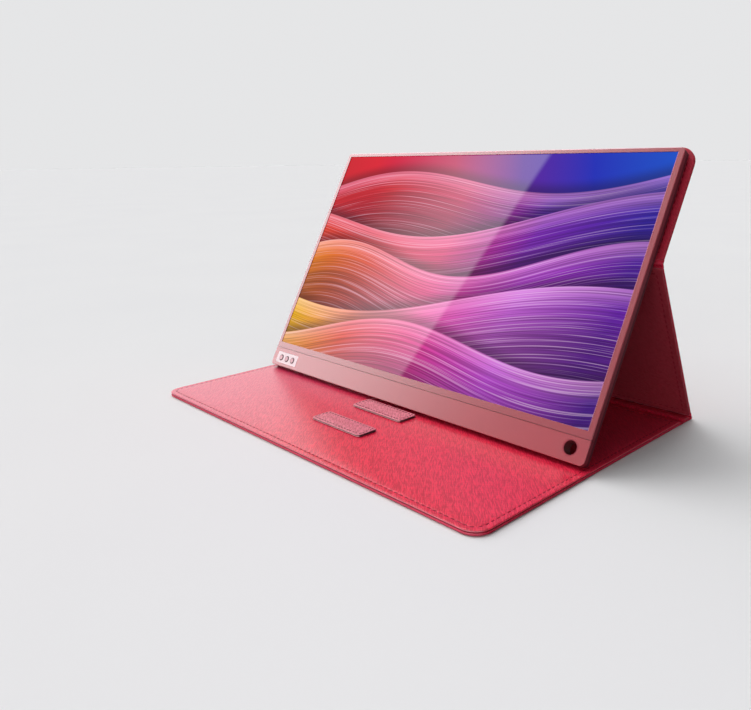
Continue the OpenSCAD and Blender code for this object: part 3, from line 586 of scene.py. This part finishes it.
def sewn(name, body, place, box, radii, inset, heights, finish, pitch=4.6, length=3.1, width=0.95):
    """A row of stitches just inside an outline, at each height; a stitch dips at its two ends."""
    bm = bmesh.new()
    for z, out in heights:
        for middle, way in march(outline(*box, radii, inset), pitch):
            side = Vector((-way.y, way.x))
            way = (way + side * 0.1).normalized()
            rings = []
            for t, size, lift in STITCH:
                centre = middle + way * (t * length / 2)
                ring = []
                for k in range(6):
                    a = math.pi * k / 3
                    p = centre + side * (math.cos(a) * width / 2 * size)
                    ring.append((p.x, p.y, z + out * (lift * 0.3 + math.sin(a) * 0.2 * size)))
                rings.append(ring)
            add_loft(bm, rings, place)
    return finish_piece(name, bm, finish, body=body, angle=80, slot="cover_leather")


def fold_web(name, axis, first, second, bend_r, reach, finish):
    """Leather that runs over a fold axis. first and second point away from it along the two panels."""
    first, second = Vector(first).normalized(), Vector(second).normalized()
    half = math.acos(max(-1, min(1, first.dot(second)))) / 2
    tangent = bend_r / math.tan(half)
    bisector = (first + second).normalized()
    centre = bisector * (bend_r / math.sin(half))
    start, end = first * tangent, second * tangent
    turn_from = math.atan2(start.y - centre.y, start.x - centre.x)
    sweep = (math.atan2(end.y - centre.y, end.x - centre.x) - turn_from + math.pi) % (2 * math.pi) - math.pi
    middle = [first * s for s in (reach, reach - 0.5, (reach + tangent) / 2)]
    for i in range(13):
        a = turn_from + sweep * i / 12
        middle.append(centre + Vector((math.cos(a), math.sin(a))) * bend_r)
    middle += [second * s for s in ((reach + tangent) / 2, reach - 0.5, reach)]
    outer_side, inner_side = [], []
    for i, p in enumerate(middle):
        before, after = middle[max(i - 1, 0)], middle[min(i + 1, len(middle) - 1)]
        along = (after - before).normalized()
        across = Vector((-along.y, along.x))
        if across.dot(bisector) < 0:
            across = -across
        thick = SKIN / 2 if 0 < i < len(middle) - 1 else SKIN / 4
        inner_side.append(p + across * thick * 0.98)
        outer_side.append(p - across * thick * 0.98)
    section = outer_side + inner_side[::-1]
    rings = []
    for x, shrink in ((-HALF_W, 0.55), (-HALF_W + 0.12, 0.85), (-HALF_W + 0.4, 1), (-60, 1), (60, 1),
                      (HALF_W - 0.4, 1), (HALF_W - 0.12, 0.85), (HALF_W, 0.55)):
        ring = []
        for p, q in zip(section, middle + middle[::-1]):
            here = q + (p - q) * shrink
            ring.append((x, axis[0] + here.x, axis[1] + here.y))
        rings.append(ring)
    piece = loft_piece(name, rings, Matrix.Scale(MM, 4), finish, angle=60, slot="cover_leather")
    way = (second - first).normalized()
    span = abs(way.dot(second)) * (tangent + 0.5)
    ends = [(0, (axis[0] + way.x * s) * MM, (axis[1] + way.y * s) * MM) for s in (-span, span)]
    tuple(ends[0])
    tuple(ends[1])
    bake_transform(piece)
    return piece


def turned(profile, steps):
    """Rings round an axis from (radius, height) pairs."""
    angles = [2 * math.pi * i / steps for i in range(steps)]
    return [[(r * math.cos(a), r * math.sin(a), z) for a in angles] for r, z in profile]


# ---------------------------------------------------------------- camera

# The photograph's size, its focal length and the point it was aimed at, in its own pixels.
PHOTO_W, PHOTO_H = 751, 710
FOCAL, CENTRE = 709.2, (450.0, 354.0)
SENSOR_W = 36

# Place in metres; turn to the left, downwards and about the line of sight in degrees.
CAMERA_PLACE = (0.4003, -0.3677, 0.1925)
CAMERA_TURN = (44.20, 15.40, -0.72)


def photograph_camera():
    """The camera of the photograph, fitted to the corners of the screen, monitor and cover."""
    yaw, pitch, roll = (math.radians(degrees) for degrees in CAMERA_TURN)
    ahead = Vector((-math.sin(yaw) * math.cos(pitch), math.cos(yaw) * math.cos(pitch), -math.sin(pitch)))
    right = Vector((math.cos(yaw), math.sin(yaw), 0))
    up = right.cross(ahead)
    right, up = (right * math.cos(roll) + up * math.sin(roll), up * math.cos(roll) - right * math.sin(roll))
    data = bpy.data.cameras.new("photograph")
    data.sensor_width = SENSOR_W
    data.lens = SENSOR_W * FOCAL / PHOTO_W
    data.shift_x = (PHOTO_W / 2 - CENTRE[0]) / PHOTO_W
    data.shift_y = (CENTRE[1] - PHOTO_H / 2) / PHOTO_W
    data.clip_start = 0.01
    camera = bpy.data.objects.new("photograph", data)
    turn = Matrix((right, up, -ahead)).transposed().to_4x4()
    camera.matrix_world = Matrix.Translation(CAMERA_PLACE) @ turn
    bpy.context.scene.collection.objects.link(camera)
    bpy.context.scene.camera = camera


photograph_camera()

# ---------------------------------------------------------------- cover

COVER_SEAM = 2.12
outer = leather("cover_outer_leather", "#f62c50", "#c00c30", seam=COVER_SEAM, rim=1.0)
# On this lining the cool colour on the left is a painted sheen, and the greyer colour behind is painted
# shade under the stand.
lining = leather("cover_inner_leather", "#f8284c", "#c40e32", seam=COVER_SEAM, rim=1.0,
                 left=(-150, 60), cool="#c43a6a", behind=(-60, 40), contrast=1.0, ridge=0.17)
fold_leather = leather("spine_fold_leather", "#f02a4c", "#b40c2c")
PANEL_SEAM = COVER_SEAM - SKIN / 2
AT_REAR = (math.pi - SLOPE, REAR_FOLD, PANEL_SEAM)
AT_UPPER = (math.pi / 2 - TILT, MID_FOLD, PANEL_SEAM)
rear_outer = leather("rear_outer_leather", "#e02848", "#ac0c2a", *AT_REAR)
# Darker, duller copy of the lining with flatter grain: painted shade.
shaded_rear_lining = leather("shaded_rear_inner_leather", "#b83c4a", "#8e2834", *AT_REAR, contrast=0.5)
upper_outer = leather("upper_outer_leather", "#e02848", "#ac0c2a", *AT_UPPER)
# Darker, duller copy of the lining with flatter grain: painted shade.
shaded_upper_lining = leather("shaded_upper_inner_leather", "#d0344a", "#a41e34", *AT_UPPER, contrast=0.5)
strip_skin = strip_leather("strip_leather")
sewing_thread = thread("sewing_thread", "#a81434", "#640818")
strip_thread = thread("strip_thread", "#741430", "#360814")

leather_panel("flap", "cover_base", ON_TABLE, FLAP, FLAP_R, outer, lining,
              ("cover_skin",), ("cover_lining",))
loft_piece("spine_outer_leather", rings_of(SPINE, SQUARE, [(3, 0), *SKIN_EDGE[6:-1], (3, 0.82)]), ON_TABLE,
           outer, body="cover_base", slot="cover_leather")
loft_piece("spine_inner_leather", rings_of(SPINE, SQUARE, [(3, 2.62), *LINING_EDGE[1:10], (3, 3.4)]),
           ON_TABLE, lining, body="cover_base", slot="lining_leather")
leather_panel("rear_panel", "rear_panel", ON_REAR, REAR, SQUARE, rear_outer, shaded_rear_lining,
              ("rear_panel_skin",), ("rear_panel_lining",))
leather_panel("upper_panel", "upper_panel", ON_UPPER, UPPER, UPPER_R, upper_outer, shaded_upper_lining,
              ("upper_panel_skin",), ("upper_panel_lining",))


def spine_fold():
    """The pressed fold between flap and spine: one sheet that dips between the two boards."""
    def mirrored(points):
        """The same points on the other side of the fold, in the reverse order."""
        return [(-y, z) for y, z in points[::-1]]

    middle, core_h = (FLAP[3] + SPINE[2]) / 2, 1.6
    under = ((-4.2, 2.7), (-3.0, 0.3), (-2.4, 0.0))
    dip = ((4.2, 3.3), (3.5, 3.3), (2.8, 3.1), (1.8, 2.5), (0.8, 2.15))
    section = [*under, *mirrored(under), *dip, (0.0, 2.05), *mirrored(dip)]
    rings = []
    for x, shrink in ((-HALF_W + 0.05, 0.8), (-HALF_W + 0.4, 1), (-60, 1),
                      (60, 1), (HALF_W - 0.4, 1), (HALF_W - 0.05, 0.8)):
        rings.append([(x, middle + y, core_h + (z - core_h) * shrink) for y, z in section])
    return loft_piece("spine_fold_leather", rings, ON_TABLE, fold_leather,
                      body="cover_base", slot="cover_leather")


spine_fold()
rear_up = (-math.cos(SLOPE), math.sin(SLOPE))
rear_down = (-rear_up[0], -rear_up[1])
upper_up = (math.sin(TILT), math.cos(TILT))
fold_web("rear_fold_leather", REAR_FOLD, (-1, 0), rear_up,
         bend_r=0.62, reach=5.9, finish=outer)
fold_web("mid_fold_leather", MID_FOLD, rear_down, upper_up,
         bend_r=1.4, reach=2.7, finish=upper_outer)

TOP_AND_UNDER = ((3.22, 1), (0.2, -1))
for panel, body, place, box, radii in (("flap", "cover_base", ON_TABLE, FLAP, FLAP_R),
                                       ("rear_panel", "rear_panel", ON_REAR, REAR, SQUARE),
                                       ("upper_panel", "upper_panel", ON_UPPER, UPPER, UPPER_R)):
    sewn(panel + "_stitches", body, place, box, radii, STITCH_INSET, TOP_AND_UNDER, sewing_thread)

# Section through a strip's edge, as (inset, height). Its stitches lie in the groove.
STRIP_CROWN = 2.06
STRIP_GROOVE = (2.0, 1.86)
STRIP_EDGE = (
    (4, 0), (0.3, 0), (0.16, 0.1), (0.02, 0.34), (0, 0.5), (0.02, 0.86), (0.12, 0.95), (0.5, 1.0),
    (0.5, 1.24), (0.12, 1.3), (0.02, 1.38), (0, 1.6), (0.08, 1.82), (0.28, 1.94), (0.7, 1.99),
    (1.3, 1.98), (1.7, 1.9), STRIP_GROOVE, (2.3, 1.9), (2.8, 2.0), (4.5, 2.05), (7.5, STRIP_CROWN))
STRIP_CORNERS = (STRIP_R,) * 4
for strip, middle in STRIPS.items():
    box = (-STRIP_W / 2, STRIP_W / 2, middle - STRIP_D / 2, middle + STRIP_D / 2)
    rings = rings_of(box, STRIP_CORNERS, STRIP_EDGE)
    rings = [[(x, y, PANEL_T + z * STRIP_T / STRIP_CROWN) for x, y, z in ring] for ring in rings]
    loft_piece(strip + "_cover", rings, ON_TABLE, strip_skin, body="cover_base",
               replaces=(strip + "_leather", strip + "_core"), slot="cover_leather")
    inset, height = STRIP_GROOVE
    sewn(strip + "_stitches", "cover_base", ON_TABLE, box, STRIP_CORNERS, inset,
         ((PANEL_T + height, 1),), strip_thread, pitch=3.3, length=1.8, width=0.9)

pad = moulded("pad_rubber", "#4a1620", "#2c0b12", 0.7, 1.5)
PAD_EDGE = (
    (6, 3.4), (0.2, 3.4), (0, 3.5), (0, 3.75), (0.12, 3.87), (0.4, 3.9), (2.4, 3.9), (2.7, 3.8),
    (3.2, 3.8), (3.5, 3.9), (6, 3.9))
loft_piece("mounting_pad_ribbed", rings_of(PAD, PAD_R, PAD_EDGE), ON_UPPER, pad,
           body="upper_panel", replaces=("mounting_pad",), slot="pad_rubber")

# ---------------------------------------------------------------- monitor

# The third colour of each is for the sides: painted shade.
frame_rose = rose_metal("frame_rose", "#b0243a", "#a01c32", "#8e2c3c")
chin_rose = rose_metal("chin_rose", "#bc263c", "#a81e34", "#8e2c3c")
# Darker copy of the rose metal for the shell's sides and back: painted shade.
shaded_shell_rose = rose_metal("shaded_shell_rose", "#7c2432", "#641a28", rough=0.5)
# Pale polished edge for the case's left side and top: a painted highlight.
edge_highlight = polished("cut_edge_highlight", "#c09aa2", "#ac828c")
inner_edge = polished("inner_edge", "#b4707c", "#94505c")
button_face = rose_metal("button_rose", "#ecc0c8", "#d49ca6", clear=0.5, index=1.6)
# Dark finish for the buttons' sloped sides: painted shade.
shaded_button_side = moulded("shaded_button_side", "#5e1426", "#380a16", 0.5)

GLASS_EDGE = ((-0.06, 0.005), (0.0, 0.02), (0.3, -0.08), (0.32, -0.55), (0.0, -0.59), (-0.06, -0.5))
CASE_EDGE = (
    (0.3, -0.9), (-0.03, -0.85), (-0.03, -0.6), (0.018, -0.359), (0.155, -0.155), (0.359, -0.018),
    (0.6, 0.03), (0.75, 0.03), (0.8, -0.1))


def screen_trim():
    """Cut edge round the glass, wide on the right and hardly there on the other three sides."""
    rings = []
    for inset, z in GLASS_EDGE:
        slim, wide = inset * 0.25, inset * 1.7
        around = outline(slim - LIT_W / 2, LIT_W / 2 - wide,
                         CHIN_H + slim, CHIN_H + LIT_H - slim, (0.3,) * 4)
        rings.append([(x, y, z) for x, y in around])
    loft_piece("screen_edge_trim", rings, ON_SCREEN, inner_edge, closed=True, body="monitor",
               slot="rose_metal", angle=20)


def case_trim():
    """Polished cut edge of the case, only along the left side and the top and pale there: a painted
    highlight where the edge catches the light.
    """
    sides = rings_of((-CASE_W / 2, CASE_W / 2, 0, CASE_H), (CASE_R,) * 4, CASE_EDGE)
    from_top_right, to_low_left = range(24, 36), range(0, 5)
    sections = [[side[i] for side in sides] for i in (*from_top_right, *to_low_left)]
    loft_piece("case_edge_trim", sections, ON_SCREEN, edge_highlight,
               body="monitor", slot="rose_metal", angle=25)


screen_trim()
case_trim()

BUTTON_SECTION = (
    (0.2, -1.49), (1.15, -1.49), (1.2, -1.42), (1.2, -1.12), (3.55, -1.12), (3.6, -1.05), (3.6, -0.62),
    (3.54, -0.56), (2.85, -0.55), (2.85, 0.14), (2.74, 0.3), (2.52, 0.48), (2.3, 0.57), (2.1, 0.575),
    (1.9, 0.55), (1.5, 0.51), (0.9, 0.48), (0.15, 0.47))
BUTTON_FACE_R = 2.0
for button, x in BUTTONS.items():
    there = ON_SCREEN @ Matrix.Translation((x, BUTTON_H, 0))
    cap = loft_piece(button + "_cap", turned(BUTTON_SECTION, 40), there, button_face, body=button,
                     replaces=(button,), slot="button_rose")
    cap.data.materials.append(shaded_button_side)
    # Faces outside BUTTON_FACE_R take the dark side finish, painted shade.
    for face in cap.data.polygons:
        reach = there.inverted() @ face.center
        face.material_index = int(math.hypot(reach.x, reach.y) > BUTTON_FACE_R)

SCREW_SECTION = (
    (0.3, 4.0), (0.66, 3.9), (0.7, 3.6), (0.7, 0.5), (1.5, 0.5), (1.5, 0.16), (1.38, 0.04), (1.2, 0.0))


def crossed_screws():
    """Screws of the chin, with a cross cut in each head."""
    steps, reach, waist, depth = 32, 0.95, 0.3, 0.34
    cross = []
    for i in range(steps):
        a = 2 * math.pi * i / steps
        from_arm = abs(((a + math.pi / 4) % (math.pi / 2)) - math.pi / 4) / (math.pi / 4)
        r = reach - (reach - waist) * min(1, from_arm * 2.2)
        cross.append((r * math.cos(a), r * math.sin(a)))
    head = turned(SCREW_SECTION, steps)
    head.append([(px, py, 0.0) for px, py in cross])
    head.append([(px * 0.72, py * 0.72, depth) for px, py in cross])
    bm = bmesh.new()
    for x in CHIN_SCREWS:
        add_loft(bm, head, ON_SCREEN @ Matrix.Translation((x, SCREW_H, -CASE_T)))
    return finish_piece("chin_screws_crossed", bm, screw_steel, body="monitor", replaces=("chin_screws",),
                        slot="screw_steel", angle=30)


screw_steel = moulded("screw_steel", "#6a6c72", "#3c3d41", 0.35, 4.0, 0.9)
crossed_screws()

# ---------------------------------------------------------------- CAD nodes that stay

board = fibre_board("stiff_board")
nickel = moulded("nickel_magnet", "#c6c8cc", "#8d9096", 0.25, 2.0, 1.0)
green_board = circuit_board("circuit_board")
usb = socket_steel("usb_socket_steel", USB_H, 3.35)
FINISHES = {
    board: ("cover_board", "spine_board", "rear_panel_board", "upper_panel_board"),
    nickel: ("cover_magnets", "mount_magnets"),
    shaded_shell_rose: ("rear_shell",),
    frame_rose: ("bezel_frame",),
    chin_rose: ("chin_cover",),
    sleeve("pen_sleeve", "#a63a4c", "#7a3038", "#501a22"): ("pen_sleeve",),
    rose_metal("plate_pale", "#fff0f4", "#f2dce2", clear=0.4, index=1.6): ("button_plate",),
    lit_screen("lit_screen"): ("display_panel",),
    film("prism_film", "#eef3f6", "#c9d3da", 0.3): ("prism_sheet",),
    film("diffuser_film", "#f8f8f6", "#dedede", 1.2, 0.7): ("diffuser_sheet",),
    film("guide_acrylic", "#e6f0f4", "#bccfd8", 2.5, 0.12): ("light_guide",),
    film("reflector_film", "#fbfbfb", "#d8dadd", 5.0, 0.3): ("reflector_sheet",),
    striped("light_strip", "#efeee6", "#e8c23c", 4.0): ("backlight_strip",),
    rolled("tray_steel", "#b4b8bd", "#868b91"): ("panel_tray",),
    rolled("plate_steel", "#9a9ea4", "#6f7379", along="y"): ("steel_plate",),
    striped("amber_film", "#a8641c", "#7a3f10", 0.8, metal=0.6): ("panel_films",),
    green_board: ("driver_board", "main_board", "button_board"),
    moulded("chip_case", "#2a2c30", "#141518", 0.45, 5.0): ("board_chips",),
    rolled("spreader_metal", "#6a5a52", "#4a3e38", 0.4): ("heat_spreader",),
    screw_steel: ("board_screws",),
    usb: ("lower_usb_socket", "upper_usb_socket"),
    socket_steel("video_socket_steel", VIDEO_H, 3.7): ("video_socket",),
    moulded("dome_steel", "#d4d6da", "#9da0a6", 0.22, 6.0, 1.0): ("button_domes",),
    striped("flat_cable", "#e2dcc6", "#a89a70", 1.0): ("button_cable", "display_cable"),
    moulded("speaker_black", "#2e3034", "#17181b", 0.6, 2.5): ("speaker_left", "speaker_right"),
    striped("speaker_lead", "#1c1d20", "#a31822", 1.6, 1, 0.4): ("speaker_leads",),
}
for finish, names in FINISHES.items():
    for name in names:
        node = NODES[name]
        if not node.material_slots:
            node.data.materials.append(finish)
        for slot in node.material_slots:
            slot.material = finish

# ---------------------------------------------------------------- studio

# Floor in metres, and the ways that each light's limits are measured along.
FLOOR_R, FLOOR_GAP = 30, 0.00005
WINDOW_EDGE, WINDOW_SIDE = (-0.667, 0.734, -0.127), (-0.643, -0.766, 0)
CEILING_WAY, PANEL_WAY = (-0.3, 0.16, 0.94), (0.35, -0.94, 0)


def studio_floor():
    """Pale floor to the eye. Its light on the undersides is a grey table's, so they stay deep in colour."""
    bm = bmesh.new()
    bmesh.ops.create_circle(bm, cap_ends=True, segments=128, radius=FLOOR_R)
    f = Finish("studio_floor", Specular_IOR_Level=0.0, Roughness=0.9)
    x, y, z = f.laid()
    seen = f.node("ShaderNodeLightPath", output="Is Camera Ray")
    cloud = f.noise(x * 0.004, y * 0.004, 0, 2)
    f.give(Base_Color=f.mix(seen, "#858587", f.mix(cloud, "#e9e9ea", "#e5e5e7")))
    floor = finish_piece("studio_floor", bm, f.material)
    floor.location.z = -FLOOR_GAP


def studio_world():
    """Light from a wide window on the left, the ceiling and a low panel in front; pale to the eye."""
    world = bpy.data.worlds.new("studio")
    world.use_nodes = True
    bpy.context.scene.world = world
    s = Shading(world.node_tree)
    way = s.node("ShaderNodeTexCoord", output="Generated")
    x, _, z = s.split(way)

    def toward(direction):
        """How far a ray goes along a direction, from -1 to 1."""
        return s.node("ShaderNodeVectorMath", {"operation": "DOT_PRODUCT"}, {0: way, 1: direction}, "Value")

    window = s.step(toward(WINDOW_EDGE), -0.004, 0.004) * s.step(toward(WINDOW_SIDE), -0.02, 0.12)
    window = window * (1 - s.step(z, 0.72, 0.9)) * (2.0 + 0.6 * s.step(z, 0.35, 0.5))
    ceiling = s.step(toward(CEILING_WAY), 0.86, 0.98)
    panel = s.step(toward(PANEL_WAY), 0.6, 0.92) * (1 - s.step(z, 0.15, 0.35))
    around = 0.1 + 0.15 * s.step(-1 * x, -0.6, 0.6)
    level = around + window + ceiling * 3.1 + panel * 3.2
    lit = s.node("ShaderNodeBackground", inputs={"Color": (1, 1, 1, 1), "Strength": level})
    shown = s.node("ShaderNodeBackground", inputs={"Color": (0.787, 0.789, 0.798, 1)})
    camera_ray = s.node("ShaderNodeLightPath", output="Is Camera Ray")
    either = s.node("ShaderNodeMixShader", inputs={0: camera_ray, 1: lit, 2: shown})
    s.plug(s.tree.nodes["World Output"].inputs["Surface"], either)


studio_floor()
studio_world()
bpy.context.scene.view_settings.view_transform = "Standard"
